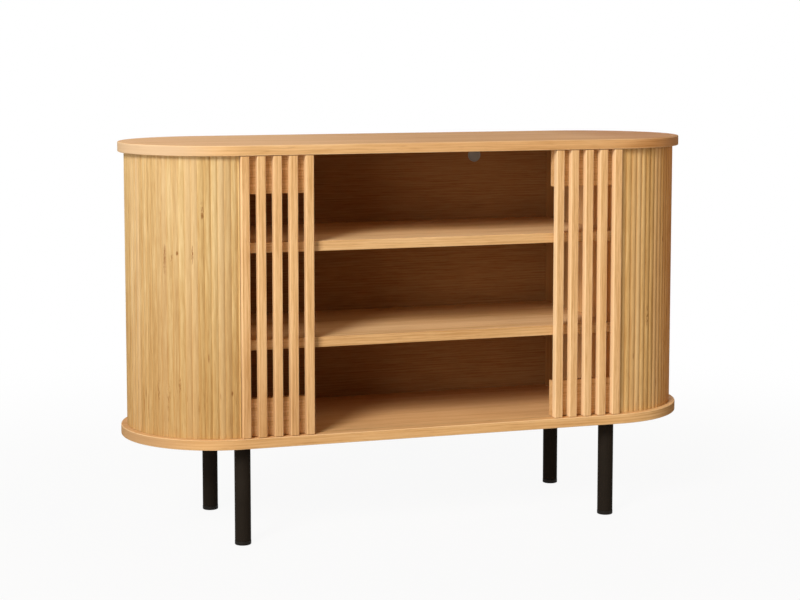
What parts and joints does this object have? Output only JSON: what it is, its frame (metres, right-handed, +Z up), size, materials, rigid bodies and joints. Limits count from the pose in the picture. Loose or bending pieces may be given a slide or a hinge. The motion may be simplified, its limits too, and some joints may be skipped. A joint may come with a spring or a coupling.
{
  "type": "sideboard",
  "caption": "Sideboard with half-round ends wrapped in reeded tambour, sliding slatted doors, open shelves between them and straight round legs.",
  "frame": {"origin": "on the floor, under the middle of the cabinet", "axes": "+X along the width, to the right seen from the front; +Y to the back, so the front faces -Y; +Z up"},
  "size_m": [1.2, 0.4, 0.79],
  "materials": {
    "top_oak": "oak veneer, matt lacquer",
    "base_oak": "oak veneer, matt lacquer",
    "shelf_oak": "oak veneer, matt lacquer",
    "side_oak": "oak veneer, matt lacquer",
    "back_oak": "oak veneer on thin board",
    "slat_oak": "oak, upright grain, matt lacquer",
    "rail_oak": "oak, level grain, matt lacquer",
    "tambour_bamboo": "reeded bamboo, matt lacquer",
    "leg_paint": "satin black powder coat",
    "foot_plastic": "black plastic",
    "glide_plastic": "black plastic",
    "grommet_plastic": "grey plastic",
    "pin_steel": "zinc-plated steel",
    "bolt_steel": "zinc-plated steel",
    "dowel_beech": "plain beech"
  },
  "bodies": {
    "cabinet": {"top_panel": "top_oak", "base_panel": "base_oak", "lower_shelf": "shelf_oak", "upper_shelf": "shelf_oak", "left_side_panel": "side_oak", "right_side_panel": "side_oak", "back_panel": "back_oak", "cable_grommet": "grommet_plastic", "left_tambour": "tambour_bamboo", "right_tambour": "tambour_bamboo", "left_front_leg": "leg_paint", "left_front_foot": "foot_plastic", "left_front_leg_bolt": "bolt_steel", "left_lower_front_dowel": "dowel_beech", "lower_shelf_left_front_pin": "pin_steel", "left_upper_front_dowel": "dowel_beech", "upper_shelf_left_front_pin": "pin_steel", "left_rear_leg": "leg_paint", "left_rear_foot": "foot_plastic", "left_rear_leg_bolt": "bolt_steel", "left_lower_rear_dowel": "dowel_beech", "lower_shelf_left_rear_pin": "pin_steel", "left_upper_rear_dowel": "dowel_beech", "upper_shelf_left_rear_pin": "pin_steel", "right_front_leg": "leg_paint", "right_front_foot": "foot_plastic", "right_front_leg_bolt": "bolt_steel", "right_lower_front_dowel": "dowel_beech", "lower_shelf_right_front_pin": "pin_steel", "right_upper_front_dowel": "dowel_beech", "upper_shelf_right_front_pin": "pin_steel", "right_rear_leg": "leg_paint", "right_rear_foot": "foot_plastic", "right_rear_leg_bolt": "bolt_steel", "right_lower_rear_dowel": "dowel_beech", "lower_shelf_right_rear_pin": "pin_steel", "right_upper_rear_dowel": "dowel_beech", "upper_shelf_right_rear_pin": "pin_steel"},
    "left_door": {"left_door_slat_1": "slat_oak", "left_door_slat_2": "slat_oak", "left_door_slat_3": "slat_oak", "left_door_slat_4": "slat_oak", "left_door_slat_5": "slat_oak", "left_door_bottom_rail": "rail_oak", "left_door_bottom_glide_1": "glide_plastic", "left_door_bottom_glide_2": "glide_plastic", "left_door_top_rail": "rail_oak", "left_door_top_glide_1": "glide_plastic", "left_door_top_glide_2": "glide_plastic"},
    "right_door": {"right_door_slat_1": "slat_oak", "right_door_slat_2": "slat_oak", "right_door_slat_3": "slat_oak", "right_door_slat_4": "slat_oak", "right_door_slat_5": "slat_oak", "right_door_bottom_rail": "rail_oak", "right_door_bottom_glide_1": "glide_plastic", "right_door_bottom_glide_2": "glide_plastic", "right_door_top_rail": "rail_oak", "right_door_top_glide_1": "glide_plastic", "right_door_top_glide_2": "glide_plastic"}
  },
  "joints": [
    {"name": "left_door_slide", "type": "slide", "parent": "cabinet", "child": "left_door", "axis": [1, 0, 0], "range_m": [0, 0.25]},
    {"name": "right_door_slide", "type": "slide", "parent": "cabinet", "child": "right_door", "axis": [-1, 0, 0], "range_m": [0, 0.25]}
  ]
}
